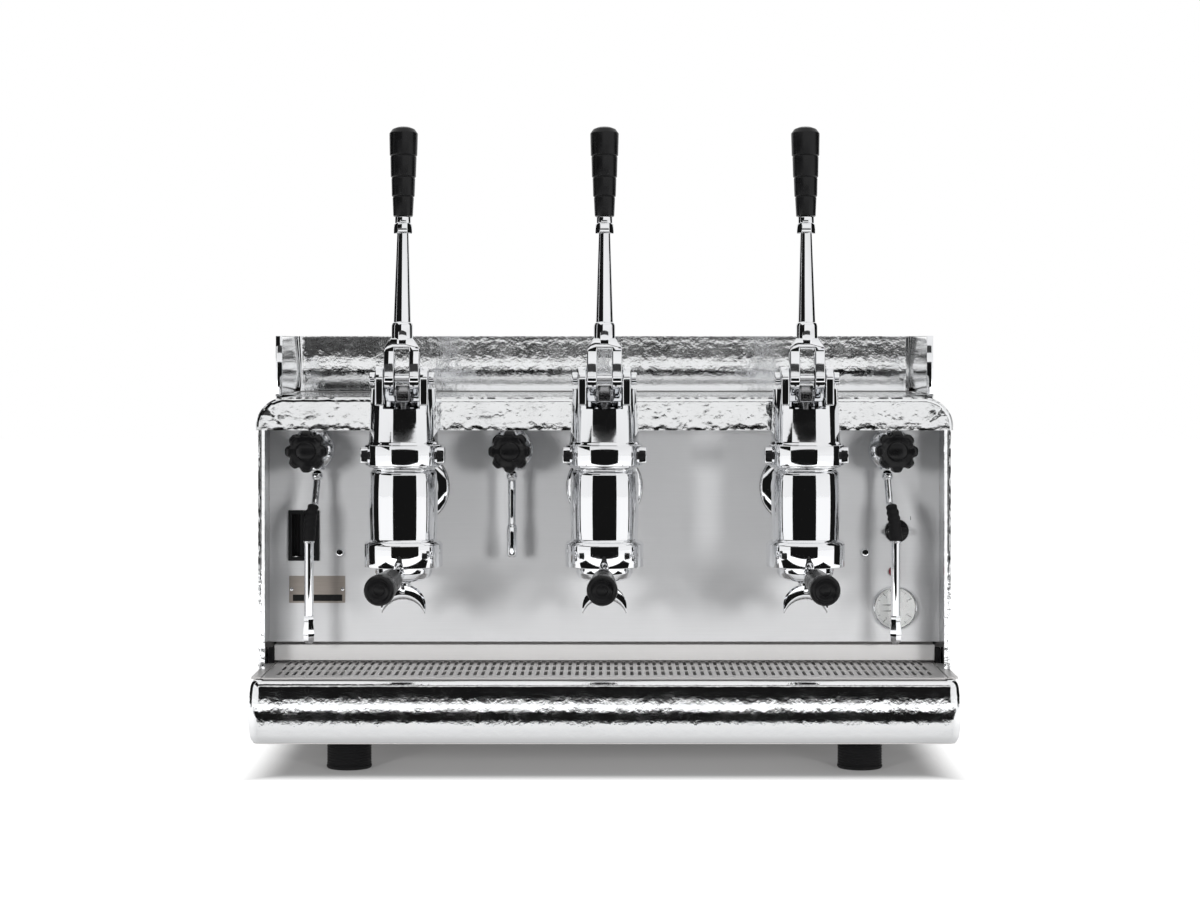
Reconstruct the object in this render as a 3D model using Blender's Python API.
# Three-group spring lever espresso machine, modelled in metres with +Z up.
# X runs across the machine, Y runs from the barista to the back, and the floor is at Z = 0.
# While the pieces are made, Y = 0 is the top front edge of the hammered base band.
import math

import bmesh
import bpy
from mathutils import Matrix, Vector
from mathutils.geometry import convex_hull_2d

# Fits between pieces
SEAT_GAP = 0.0003
RUN_GAP = 0.0005
OVERRUN = 0.004
ROUND_SIDES = 18
GRIP_SIDES = 12
SMALL_SIDES = 8
PIPE_SIDES = 8
SMOOTH_ANGLE = math.radians(38)

# Base band, a shallow convex strip that wraps the front and both sides
BASE_HALF_WIDTH = 0.470
FOOT_HEIGHT = 0.042
BAND_HEIGHT = 0.0844
BAND_WALL = 0.003
BAND_BULGE = 0.004
BAND_CORNER = 0.014
BAND_RINGS = 7
CORNER_STEPS = 4
DOME_STEPS = 3
FOOT_RADIUS = 0.0305
FOOT_CHAMFER = 0.002
FOOT_SIDE_INSET = 0.125
FOOT_INSET = 0.075

# Casing
CASE_DEPTH = 0.514
SHEET = 0.0035
PANEL_Y = 0.177
PANEL_SHEET = 0.002
HOOD_FRONT_Y = 0.088
HOOD_REAR_Y = 0.280
HOOD_LOW_Z = 0.455
HOOD_TOP_Z = 0.4995
HOOD_SHOULDER = 0.040
HOOD_EDGE = 0.006
HOOD_EDGE_SHARES = (1, 0.3, 0)
SHOULDER_STEPS = 6
RAIL_HEIGHT = 0.084
RAIL_WALL = 0.0093
RAIL_BULGE = 0.004
RAIL_CORNER = 0.016
FRONT_FLANGE = 0.012
SHELF_FLANGE = 0.012
BACK_SHEET = 0.002
GLAND_INSET = 0.090
GLAND_Z = 0.170
GLAND_RADIUS = 0.013
GLAND_NUT = 0.010
GLAND_REACH = 0.012
GLAND_NECK_SHARE = 0.85
VENT_COUNT = 12
VENT_WIDTH = 0.006
VENT_HEIGHT = 0.070
VENT_PITCH = 0.030
VENT_Z = 0.380

# Drip tray and grate
GRATE_TOP_Z = 0.1297
GRATE_SHEET = 0.003
GRATE_MARGIN = 0.015
GRATE_FRONT_Y = 0.004
GRATE_REAR_Y = 0.250
RIM_GAP = 0.0016
SLOT_PITCH = 0.0208
SLOT_WIDTH = 0.0070
SLOT_ROWS = 2
SLOT_FIELD_MARGIN = 0.031
SLOT_FIELD_FRONT_Y = 0.031
SLOT_FIELD_REAR_Y = 0.247
SLOT_BRIDGE = 0.008
PAN_WALL = 0.002
LEDGE_TOP_Z = 0.158
LEDGE_FRONT_Y = 0.255
FLOOR_SHEET = 0.003

# Boiler behind the front panel
BOILER_RADIUS = 0.095
BOILER_END_MARGIN = 0.055
BOILER_Y = 0.312
BOILER_Z = 0.3734
BOILER_DOME = 0.030
STUB_RADIUS = 0.040
SADDLE_INSET = 0.085
SADDLE_THICKNESS = 0.006
SADDLE_HALF_DEPTH = 0.050

# Group bodies
GROUP_INSET = 0.201
GROUP_Y = 0.038
BELL_RADIUS = 0.0524
BELL_LOW_Z = 0.275
BELL_TOP_Z = 0.309
BELL_EDGE = 0.0025
BARREL_RADIUS = 0.0445
BARREL_SWELL = 0.0015
BARREL_SHOULDER = 0.006
RING_RADIUS = 0.0515
RING_LOW_Z = 0.410
RING_TOP_Z = 0.4375
FLANGE_RADIUS = 0.0476
JOINT_Z = 0.4240
CHAMBER_RADIUS = 0.033
CHAMBER_LOW_Z = 0.304
WATER_HOLE_RADIUS = 0.004
NECK_RADIUS = 0.030
NECK_Z = 0.3734
NECK_END_Y = 0.205
ESCUTCHEON_RADIUS = 0.053
ESCUTCHEON_DEPTH = 0.007

# Spring housing with the two ears of the lever pivot
HOUSING_TOP_RADIUS = 0.0432
HOUSING_TOP_Z = 0.513
CAP_TOP_Z = 0.486
CAP_THICKNESS = 0.006
POCKET_RADIUS = 0.0385
EAR_IN_X = 0.0240
EAR_OUT_X = 0.0350
EAR_RADIUS = 0.0160
EAR_FOOT_Z = 0.4905
CLAMP_EAR_X = 0.0560
CLAMP_EAR_HALF_DEPTH = 0.011
CLAMP_EAR_INSET = 0.004
CLAMP_BOLT_RADIUS = 0.0040
CLAMP_BOLT_HEAD = 0.003
CLAMP_BOLT_X = 0.0517

# Lever and its crank
LEVER_TRAVEL = math.radians(85)
LEVER_LEAN = math.radians(5)
PIVOT_Z = 0.526
PIVOT_OFFSET = 0.026
PIVOT_RADIUS = 0.0065
PIVOT_HEAD_RADIUS = 0.0085
PIVOT_HEAD_X = 0.043
FORK_IN_X = 0.010
FORK_OUT_X = 0.0233
ARM_DEPTH_SHARE = 0.95
EYE_RADIUS = 0.0160
CRANK_RADIUS = 0.030
CRANK_PIN_RADIUS = 0.005
CRANK_LOBE_RADIUS = 0.0105
WINDOW_TOP = 0.040
SHOULDER_TOP = 0.053
SOCKET_RADIUS = 0.0147
SOCKET_TOP = 0.074
ROD_LOW_RADIUS = 0.012
ROD_HIGH_RADIUS = 0.0080
ROD_TOP = 0.194
NUT_RADIUS = 0.0125
NUT_TOP = 0.217
NUT_SIDES = 6
TANG_RADIUS = 0.006
TANG_DEPTH = 0.040
GRIP_STEP_HEIGHTS = (0.026, 0.026, 0.029, 0.032)
GRIP_RADII = (0.0145, 0.0160, 0.0177, 0.0191)
GRIP_GROOVE = 0.0012
GRIP_DOME = 0.008

# Piston, its yoke and its spring
PISTON_CLEARANCE = 0.0006
PISTON_LOW_Z = 0.3085
PISTON_HEIGHT = 0.022
PISTON_GROOVE = 0.0025
ROD_RADIUS = 0.0085
YOKE_CLEARANCE = 0.0011
YOKE_WALL = 0.0055
WIRE_RADIUS = 0.0030
SPRING_RADIUS = 0.0235
SPRING_TURNS = 5
SPRING_POINTS = 8
SPRING_SIDES = 5

# Portafilter
BASKET_RADIUS = 0.0385
BASKET_TOP_Z = 0.3000
BASKET_LOW_Z = 0.2640
BASKET_FLOOR_Z = 0.2560
BASKET_WALL = 0.003
BASKET_FLOOR = 0.003
LUG_RADIUS = 0.0460
LUG_LOW_Z = 0.2860
LUG_TOP_Z = 0.2930
LUG_HALF_WIDTH = 0.010
LUG_GROOVE_GAP = 0.0012
MOUTH_GAP = 0.0012
HANDLE_DROOP = math.radians(4)
HANDLE_NECK_RADIUS = 0.0065
HANDLE_FLARE_START = 0.058
HANDLE_NECK_END = 0.086
HANDLE_COLLAR_RADIUS = 0.0120
HANDLE_COLLAR = 0.008
HANDLE_Z = 0.2702
PF_GRIP_LENGTH = 0.092
PF_GRIP_FRONT_RADIUS = 0.0200
PF_GRIP_REAR_RADIUS = 0.0150
PF_GRIP_WAIST_RADIUS = 0.0165
PF_GRIP_DISH = 0.003
PF_WAIST_SHARE = 0.45
SPOUT_STEM_RADIUS = 0.009
SPOUT_ARCH_Z = 0.2440
SPOUT_REACH = 0.0270
SPOUT_RADIUS = 0.0065
SPOUT_TIP_Z = 0.2110
SPOUT_STEPS = 4
SPOUT_TAPER_SHARE = 0.55
LEFT_TURN = math.radians(-6)
CENTRE_TURN = math.radians(-1)
RIGHT_TURN = math.radians(4)

# Valves, wands and spout
VALVE_LEFT_INSET = 0.065
VALVE_CENTRE_SHIFT = 0.0055
VALVE_RIGHT_INSET = 0.073
VALVE_Z = 0.4262
VALVE_DOME_RADIUS = 0.0305
VALVE_DOME_DEPTH = 0.026
VALVE_STEM_RADIUS = 0.011
VALVE_NUT_RADIUS = 0.0155
VALVE_NUT_DEPTH = 0.010
VALVE_TAIL = 0.018
KNOB_FRONT_Y = 0.080
KNOB_REAR_Y = 0.104
KNOB_RADIUS = 0.0288
KNOB_LOBE_DEPTH = 0.0035
KNOB_LOBES = 8
KNOB_LOBE_POINTS = 3
KNOB_CAP_RADIUS = 0.0125
KNOB_DISH = 0.0025
OUTLET_RADIUS = 0.0100
OUTLET_Y = 0.128
OUTLET_Z = 0.3990
OUTLET_LEFT_SHIFT = 0.011
OUTLET_CENTRE_SHIFT = 0.002
OUTLET_RIGHT_SHIFT = -0.009
BALL_RADIUS = 0.0078
PIPE_RADIUS = 0.0050
WAND_RADIUS = 0.0058
PIPE_DROP_Z = 0.3530
SLEEVE_TOP_Z = 0.3500
SLEEVE_LOW_Z = 0.3040
SLEEVE_RADIUS = 0.0088
SLEEVE_OUT = 0.008
WAND_FRONT_Y = 0.097
NOZZLE_TOP_Z = 0.2026
NOZZLE_RADIUS = 0.0084
NOZZLE_TIP_RADIUS = 0.0045
WAND_TIP_Z = 0.1640
WAND_SPLAY = 0.007
WAND_BEND_SHARES = (0.30, 0.50, 0.90, 1.0, 1.0, 1.0)
ELBOW_POINT = 4
NOZZLE_WAIST_SHARE = 0.20
NOZZLE_SHOULDER_SHARE = 0.55
SPOUT_PIPE_RADIUS = 0.0055
WATER_NOZZLE_TOP_Z = 0.3230
WATER_NOZZLE_RADIUS = 0.0072
WATER_TIP_Z = 0.2796

# Instruments on the front panel
SIGHT_INSET = 0.0305
SIGHT_WIDTH = 0.0428
SIGHT_LOW_Z = 0.2708
SIGHT_HEIGHT = 0.0704
SIGHT_PROUD = 0.004
SIGHT_BEZEL = 0.006
SIGHT_DEPTH = 0.018
SIGHT_TUBE_RADIUS = 0.004
SIGHT_MARGIN = 0.0012
SWITCH_INSET = 0.0635
SWITCH_Z = 0.3123
SWITCH_BASE_RADIUS = 0.0165
SWITCH_BASE_DEPTH = 0.005
SWITCH_DEPTH = 0.018
SWITCH_BAR_HALF = 0.0055
SWITCH_BAR_SHARE = 0.9
SWITCH_SHAFT_RADIUS = 0.004
LAMP_INSET = 0.0674
LAMP_Z = 0.2557
LAMP_RADIUS = 0.0075
LAMP_PROUD = 0.006
LAMP_FLANGE = 0.0025
LAMP_DEPTH = 0.012
GAUGE_INSET = 0.0660
GAUGE_Z = 0.2053
GAUGE_RADIUS = 0.0310
GAUGE_RIM = 0.0022
GAUGE_PROUD = 0.006
GAUGE_DIAL_DEPTH = 0.004
GAUGE_DEPTH = 0.028
NEEDLE_OFFSET = 0.0042
NEEDLE_LENGTH = 0.0200
NEEDLE_HALF_WIDTH = 0.0009
NEEDLE_HUB_RADIUS = 0.0026
NEEDLE_TAIL = 0.0035
NEEDLE_THICKNESS = 0.0008

CHROME = ((0.80, 0.81, 0.83), 0.06, 1.0)
HAMMERED = ((0.78, 0.79, 0.81), 0.12, 1.0)
BRUSHED = ((0.55, 0.56, 0.57), 0.35, 1.0)
SPRING_STEEL = ((0.30, 0.30, 0.32), 0.35, 1.0)
COPPER = ((0.72, 0.42, 0.28), 0.35, 1.0)
BLACK_GRIP = ((0.012, 0.012, 0.013), 0.45, 0.0)
BLACK_RUBBER = ((0.015, 0.015, 0.016), 0.75, 0.0)
RED_LENS = ((0.45, 0.01, 0.05), 0.20, 0.0)
DIAL_WHITE = ((0.70, 0.70, 0.69), 0.45, 0.0)

# Places that several pieces share
FOOT_X = BASE_HALF_WIDTH - FOOT_SIDE_INSET
GRATE_HALF_WIDTH = BASE_HALF_WIDTH - GRATE_MARGIN
SLOT_FIELD_HALF = GRATE_HALF_WIDTH - SLOT_FIELD_MARGIN
BOILER_HALF_LENGTH = BASE_HALF_WIDTH - BOILER_END_MARGIN
SADDLE_X = BOILER_HALF_LENGTH - SADDLE_INSET
GROUP_PITCH = BASE_HALF_WIDTH - GROUP_INSET
VALVE_LEFT_X = VALVE_LEFT_INSET - BASE_HALF_WIDTH
VALVE_CENTRE_X = VALVE_CENTRE_SHIFT - GROUP_PITCH / 2
VALVE_RIGHT_X = BASE_HALF_WIDTH - VALVE_RIGHT_INSET
SIGHT_LOW_X = SIGHT_INSET - BASE_HALF_WIDTH
SIGHT_HIGH_X = SIGHT_LOW_X + SIGHT_WIDTH
SIGHT_HIGH_Z = SIGHT_LOW_Z + SIGHT_HEIGHT
SWITCH_X = BASE_HALF_WIDTH - SWITCH_INSET
LAMP_X = BASE_HALF_WIDTH - LAMP_INSET
GAUGE_X = BASE_HALF_WIDTH - GAUGE_INSET
BAND_TOP_Z = FOOT_HEIGHT + BAND_HEIGHT
INNER_HALF_WIDTH = BASE_HALF_WIDTH - SHEET - SEAT_GAP
HOOD_HALF_WIDTH = BASE_HALF_WIDTH + SEAT_GAP + SHEET
SHOULDER_X = HOOD_HALF_WIDTH - HOOD_SHOULDER
SHOULDER_Z = HOOD_TOP_Z - HOOD_SHOULDER
LEDGE_SHEET = FLOOR_SHEET
SIDE_FRONT_Y = HOOD_FRONT_Y + SHEET + SEAT_GAP
PANEL_LOW_Z = LEDGE_TOP_Z + SEAT_GAP
PANEL_FACE_Y = PANEL_Y - SEAT_GAP
GRATE_LOW_Z = GRATE_TOP_Z - GRATE_SHEET
FLOOR_TOP_Z = FOOT_HEIGHT + FLOOR_SHEET
GROUP_PLACES = (
    ("left", -GROUP_PITCH, LEFT_TURN),
    ("centre", 0, CENTRE_TURN),
    ("right", GROUP_PITCH, RIGHT_TURN),
)
VALVE_PLACES = (
    ("left", VALVE_LEFT_X, OUTLET_LEFT_SHIFT),
    ("centre", VALVE_CENTRE_X, OUTLET_CENTRE_SHIFT),
    ("right", VALVE_RIGHT_X, OUTLET_RIGHT_SHIFT),
)


def clear_scene():
    for item in list(bpy.data.objects):
        bpy.data.objects.remove(item, do_unlink=True)


def finish(name, look):
    colour, roughness, metallic = look
    material = bpy.data.materials.new(name + "_finish")
    material.use_nodes = True
    shader = material.node_tree.nodes["Principled BSDF"]
    shader.inputs["Base Color"].default_value = (*colour, 1.0)
    shader.inputs["Roughness"].default_value = roughness
    shader.inputs["Metallic"].default_value = metallic
    material.diffuse_color = (*colour, 1.0)
    return material


def place(name, shape, look, origin=(0, 0, 0)):
    """Put a shape, a bmesh or a mesh made round its own origin, into the model."""
    if isinstance(shape, bmesh.types.BMesh):
        mesh = bpy.data.meshes.new(name)
        shape.to_mesh(mesh)
        shape.free()
    else:
        mesh = shape
    if not mesh.materials:
        mesh.materials.append(finish(name, look))
    mesh.shade_smooth()
    mesh.set_sharp_from_angle(angle=SMOOTH_ANGLE)
    item = bpy.data.objects.new(name, mesh)
    item.location = origin
    bpy.context.collection.objects.link(item)
    return item


def tidy(shape):
    bmesh.ops.remove_doubles(shape, verts=shape.verts, dist=1e-6)
    bmesh.ops.recalc_face_normals(shape, faces=shape.faces)
    return shape


def arc(centre, radius, start, end, steps):
    """Points on an arc, angles in radians, both ends included."""
    points = []
    for step in range(steps + 1):
        angle = start + (end - start) * step / steps
        points.append((centre[0] + radius * math.cos(angle), centre[1] + radius * math.sin(angle)))
    return points


def turned(outline, sides=ROUND_SIDES):
    """Revolve (radius, height) points round Z. A chain that starts and ends on the axis is solid."""
    shape = bmesh.new()
    verts = [shape.verts.new((radius, 0, height)) for radius, height in outline]
    edges = [shape.edges.new(pair) for pair in zip(verts, verts[1:])]
    if outline[0][0] > 0:
        edges.append(shape.edges.new((verts[-1], verts[0])))
    bmesh.ops.spin(
        shape, geom=verts + edges, cent=(0, 0, 0), axis=(0, 0, 1),
        angle=2 * math.pi, steps=sides, use_merge=True, use_duplicate=False,
    )
    return tidy(shape)


def bore_radius(radius, gap, sides):
    """Radius of a faceted hole whose flats clear a round piece by the gap, however the piece is turned."""
    return (radius + gap) / math.cos(math.pi / sides)


def along_y(shape):
    """Turn a shape made along +Z so that it points at the barista, along -Y."""
    bmesh.ops.rotate(shape, verts=shape.verts, cent=(0, 0, 0), matrix=Matrix.Rotation(math.pi / 2, 3, "X"))
    return shape


def along_x(shape):
    bmesh.ops.rotate(shape, verts=shape.verts, cent=(0, 0, 0), matrix=Matrix.Rotation(math.pi / 2, 3, "Y"))
    return shape


def moved(shape, x=0, y=0, z=0):
    bmesh.ops.translate(shape, verts=shape.verts, vec=(x, y, z))
    return shape


def turned_about(shape, angle, axis, centre=(0, 0, 0)):
    bmesh.ops.rotate(shape, verts=shape.verts, cent=centre, matrix=Matrix.Rotation(angle, 3, axis))
    return shape


def loft(rings, closed=False):
    """Skin rings of equal point counts, and cap the ends unless the path is closed."""
    shape = bmesh.new()
    rows = [[shape.verts.new(point) for point in ring] for ring in rings]
    pairs = list(zip(rows, rows[1:]))
    if closed:
        pairs.append((rows[-1], rows[0]))
    for row, after in pairs:
        for index in range(len(row)):
            following = (index + 1) % len(row)
            shape.faces.new((row[index], row[following], after[following], after[index]))
    if not closed:
        shape.faces.new(rows[0])
        shape.faces.new(list(reversed(rows[-1])))
    return tidy(shape)


def slab(outline, low, high, axis):
    """Extrude a flat outline between two places along X, Y or Z."""
    orders = {"X": lambda u, v, w: (w, u, v), "Y": lambda u, v, w: (u, w, v), "Z": lambda u, v, w: (u, v, w)}
    order = orders[axis]
    return loft([[order(u, v, low) for u, v in outline], [order(u, v, high) for u, v in outline]])


def block(low, high):
    outline = [(low[0], low[1]), (high[0], low[1]), (high[0], high[1]), (low[0], high[1])]
    return slab(outline, low[2], high[2], "Z")


def disc_rod(radius, low, high, axis, centre=(0, 0), sides=ROUND_SIDES):
    outline = arc(centre, radius, 0, 2 * math.pi * (sides - 1) / sides, sides - 1)
    return slab(outline, low, high, axis)


def swept(points, radii, sides=PIPE_SIDES, aside=(1, 0, 0)):
    """Tube through 3D points, with a radius for each. No stretch may run along the direction aside."""
    path = [Vector(point) for point in points]
    rings = []
    up = Vector(aside)
    for index, point in enumerate(path):
        before = path[max(index - 1, 0)]
        after = path[min(index + 1, len(path) - 1)]
        forward = (after - before).normalized()
        side = (up - forward * up.dot(forward)).normalized()
        lift = forward.cross(side)
        ring = []
        for step in range(sides):
            angle = 2 * math.pi * step / sides
            ring.append(point + (side * math.cos(angle) + lift * math.sin(angle)) * radii[index])
        rings.append(ring)
    return loft(rings)


def combined(base, add=(), cut=()):
    """Join and cut bmesh shapes with Blender's exact Boolean, and return one finished mesh."""
    holders = []
    for shape in (base, *add, *cut):
        mesh = bpy.data.meshes.new("shape")
        shape.to_mesh(mesh)
        shape.free()
        holder = bpy.data.objects.new("shape", mesh)
        bpy.context.collection.objects.link(holder)
        holders.append(holder)
    target = holders[0]
    for index, holder in enumerate(holders[1:]):
        modifier = target.modifiers.new("boolean", "BOOLEAN")
        modifier.operation = "UNION" if index < len(add) else "DIFFERENCE"
        modifier.solver = "EXACT"
        modifier.object = holder
    bpy.context.view_layer.update()
    result = bpy.data.meshes.new_from_object(target.evaluated_get(bpy.context.evaluated_depsgraph_get()))
    for holder in holders:
        bpy.data.objects.remove(holder, do_unlink=True)
    return result


def opened(mesh):
    """A bmesh copy of a finished mesh, for a further cut or join."""
    shape = bmesh.new()
    shape.from_mesh(mesh)
    return shape


def u_path(half_width, depth, corner, front=0):
    """Plan of a strip that runs up one side, across the front and back down the other side."""
    points = [((-half_width, depth), (-1, 0))]
    for centre_x, start in ((corner - half_width, math.pi), (half_width - corner, 1.5 * math.pi)):
        for step in range(CORNER_STEPS + 1):
            angle = start + 0.5 * math.pi * step / CORNER_STEPS
            out = (math.cos(angle), math.sin(angle))
            points.append(((centre_x + corner * out[0], front + corner + corner * out[1]), out))
    points.append(((half_width, depth), (1, 0)))
    return points


def strip(path, profile):
    """Run a closed (outward, height) profile along a plan path."""
    rings = []
    for (x, y), (out_x, out_y) in path:
        rings.append([(x + out_x * out, y + out_y * out, height) for out, height in profile])
    return loft(rings)


def bulged(bulge, height, low, steps):
    """Points up a shallow convex face that bows outward by bulge at mid height."""
    points = []
    for step in range(steps + 1):
        share = step / steps
        points.append((bulge * math.sin(math.pi * share), low + height * share))
    return points


def base_band():
    face = bulged(BAND_BULGE, BAND_HEIGHT, FOOT_HEIGHT, BAND_RINGS)
    profile = [(-BAND_WALL, FOOT_HEIGHT), *face, (-BAND_WALL, BAND_TOP_Z)]
    path = u_path(BASE_HALF_WIDTH, CASE_DEPTH, BAND_CORNER)
    place("base_band", strip(path, profile), HAMMERED)


def base_frame():
    """Welded chassis: floor, side walls with the tray's rim, rear ledge and two boiler saddles."""
    half = BASE_HALF_WIDTH - BAND_WALL - SEAT_GAP
    front = BAND_WALL + SEAT_GAP
    rear = CASE_DEPTH - BACK_SHEET - SEAT_GAP
    corner = BAND_CORNER - BAND_WALL
    plan = [place_on_path[0] for place_on_path in u_path(half, rear, corner, front)]
    floor = slab(plan, FOOT_HEIGHT, FLOOR_TOP_Z, "Z")
    rim_in = GRATE_HALF_WIDTH + RIM_GAP
    rim_out = BASE_HALF_WIDTH - SEAT_GAP
    wall_in = half - FLOOR_SHEET
    joins = []
    for side in (-1, 1):
        section = [
            (half, FOOT_HEIGHT), (half, GRATE_LOW_Z), (rim_out, GRATE_LOW_Z),
            (rim_out, GRATE_TOP_Z), (rim_in, GRATE_TOP_Z), (rim_in, GRATE_LOW_Z),
            (wall_in, GRATE_LOW_Z), (wall_in, FOOT_HEIGHT),
        ]
        joins.append(slab([(side * x, z) for x, z in section], front + corner, rear, "Y"))
        joins.append(saddle(side))
    ledge = INNER_HALF_WIDTH
    ledge_rear = LEDGE_FRONT_Y + LEDGE_SHEET
    joins.append(block((-ledge, LEDGE_FRONT_Y, FOOT_HEIGHT), (ledge, ledge_rear, LEDGE_TOP_Z)))
    place("base_frame", combined(floor, add=joins), BRUSHED)


def saddle(side):
    """Upright plate whose top edge follows the boiler."""
    reach = math.asin(SADDLE_HALF_DEPTH / (BOILER_RADIUS + SEAT_GAP))
    start = -0.5 * math.pi + reach
    radius = bore_radius(BOILER_RADIUS, SEAT_GAP, SHOULDER_STEPS * math.pi / reach)
    seat = arc((BOILER_Y, BOILER_Z), radius, start, start - 2 * reach, SHOULDER_STEPS)
    foot = [(BOILER_Y - SADDLE_HALF_DEPTH, FOOT_HEIGHT), (BOILER_Y + SADDLE_HALF_DEPTH, FOOT_HEIGHT)]
    low = side * SADDLE_X - SADDLE_THICKNESS / 2
    return slab(seat + foot, low, low + SADDLE_THICKNESS, "X")


def drip_pan():
    half = GRATE_HALF_WIDTH - RIM_GAP
    front = BAND_CORNER
    rear = GRATE_REAR_Y
    low = FLOOR_TOP_Z + SEAT_GAP
    top = GRATE_LOW_Z - SEAT_GAP
    outer = block((-half, front, low), (half, rear, top))
    inner_half = half - PAN_WALL
    inner_low = (-inner_half, front + PAN_WALL, low + PAN_WALL)
    inner = block(inner_low, (inner_half, rear - PAN_WALL, top + OVERRUN))
    place("drip_pan", combined(outer, cut=[inner]), BRUSHED)


def drip_grate():
    """Perforated sheet: columns of slots that run from front to back, in rows with a bridge between."""
    plate = block(
        (-GRATE_HALF_WIDTH, GRATE_FRONT_Y, GRATE_LOW_Z), (GRATE_HALF_WIDTH, GRATE_REAR_Y, GRATE_TOP_Z),
    )
    count = int(SLOT_FIELD_HALF / SLOT_PITCH)
    row_length = (SLOT_FIELD_REAR_Y - SLOT_FIELD_FRONT_Y - (SLOT_ROWS - 1) * SLOT_BRIDGE) / SLOT_ROWS
    slots = bmesh.new()
    for column in range(-count, count + 1):
        for row in range(SLOT_ROWS):
            x = column * SLOT_PITCH
            y = SLOT_FIELD_FRONT_Y + row * (row_length + SLOT_BRIDGE) - SLOT_BRIDGE / 2
            slot = block(
                (x - SLOT_WIDTH / 2, y, GRATE_LOW_Z - OVERRUN),
                (x + SLOT_WIDTH / 2, y + row_length, GRATE_TOP_Z + OVERRUN),
            )
            mesh = bpy.data.meshes.new("slot")
            slot.to_mesh(mesh)
            slot.free()
            slots.from_mesh(mesh)
            bpy.data.meshes.remove(mesh)
    place("drip_grate", combined(plate, cut=[slots]), BRUSHED)


def feet():
    outline = [
        (0, 0), (FOOT_RADIUS - FOOT_CHAMFER, 0), (FOOT_RADIUS, FOOT_CHAMFER),
        (FOOT_RADIUS, FOOT_HEIGHT - SEAT_GAP), (0, FOOT_HEIGHT - SEAT_GAP),
    ]
    for across, x in (("left", -FOOT_X), ("right", FOOT_X)):
        for along, y in (("front", FOOT_INSET), ("rear", CASE_DEPTH - FOOT_INSET)):
            place(f"foot_{along}_{across}", turned(outline), BLACK_RUBBER, (x, y, 0))


def side_panels():
    """Side sheets, folded in at the front and under the shelf: lower beneath the hood's skirt."""
    low = GRATE_TOP_Z + SEAT_GAP
    step_y = HOOD_REAR_Y + SEAT_GAP
    outline = [
        (SIDE_FRONT_Y, low), (CASE_DEPTH, low), (CASE_DEPTH, HOOD_TOP_Z),
        (step_y, HOOD_TOP_Z), (step_y, SHOULDER_Z), (SIDE_FRONT_Y, SHOULDER_Z),
    ]
    shelf_low = HOOD_TOP_Z - 2 * SHEET - SEAT_GAP
    for name, side in (("left", -1), ("right", 1)):
        outer = side * BASE_HALF_WIDTH
        sheet = side_slab(outline, outer, outer - side * SHEET)
        front = side_slab([
            (SIDE_FRONT_Y, low), (SIDE_FRONT_Y + SHEET, low), (SIDE_FRONT_Y + SHEET, SHOULDER_Z),
            (SIDE_FRONT_Y, SHOULDER_Z),
        ], outer, outer - side * FRONT_FLANGE)
        shelf = side_slab([
            (step_y, shelf_low), (CASE_DEPTH - BACK_SHEET - SEAT_GAP, shelf_low),
            (CASE_DEPTH - BACK_SHEET - SEAT_GAP, shelf_low + SHEET), (step_y, shelf_low + SHEET),
        ], outer, outer - side * SHELF_FLANGE)
        place(f"side_panel_{name}", combined(sheet, add=[front, shelf]), HAMMERED)


def side_slab(outline, outer, inner):
    return slab(outline, min(outer, inner), max(outer, inner), "X")


def arch(inset, low):
    """Front outline of the hood with its rounded shoulders, drawn in by inset."""
    radius = HOOD_SHOULDER - inset
    half = HOOD_HALF_WIDTH - inset
    right = arc((SHOULDER_X, SHOULDER_Z), radius, 0, 0.5 * math.pi, SHOULDER_STEPS)
    left = arc((-SHOULDER_X, SHOULDER_Z), radius, 0.5 * math.pi, math.pi, SHOULDER_STEPS)
    return [(half, low), *right, *left, (-half, low)]


def hood():
    rings = []
    for share in HOOD_EDGE_SHARES:
        inset = HOOD_EDGE * share * share
        y = HOOD_FRONT_Y + HOOD_EDGE * (1 - share)
        rings.append([(x, y, z) for x, z in arch(inset, HOOD_LOW_Z)])
    rings.append([(x, HOOD_REAR_Y, z) for x, z in arch(0, HOOD_LOW_Z)])
    inside = slab(arch(SHEET, HOOD_LOW_Z - OVERRUN), HOOD_FRONT_Y + SHEET, HOOD_REAR_Y + OVERRUN, "Y")
    place("hood", combined(loft(rings), cut=[inside]), HAMMERED)


def cup_deck():
    """Flat shelf inside the rail where cups stand to warm, on the folded edges of the side panels."""
    rail = RAIL_WALL / 2 + RAIL_BULGE + SEAT_GAP
    half = BASE_HALF_WIDTH - rail
    low = (-half, HOOD_REAR_Y + SEAT_GAP, HOOD_TOP_Z - SHEET)
    place("cup_deck", block(low, (half, CASE_DEPTH - rail, HOOD_TOP_Z)), BRUSHED)


def cup_rail():
    """Guard rail round three sides of the shelf, its inner face bowed inward."""
    low = HOOD_TOP_Z + SEAT_GAP
    half = BASE_HALF_WIDTH
    inner = [(-RAIL_WALL / 2 - x, z) for x, z in bulged(RAIL_BULGE, RAIL_HEIGHT, low, BAND_RINGS)]
    profile = [(0, low), (0, low + RAIL_HEIGHT), *reversed(inner)]
    path = [((x, CASE_DEPTH - y), (out_x, -out_y)) for (x, y), (out_x, out_y)
            in u_path(half, CASE_DEPTH - HOOD_REAR_Y, RAIL_CORNER)]
    place("cup_rail", strip(path, profile), HAMMERED)


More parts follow.
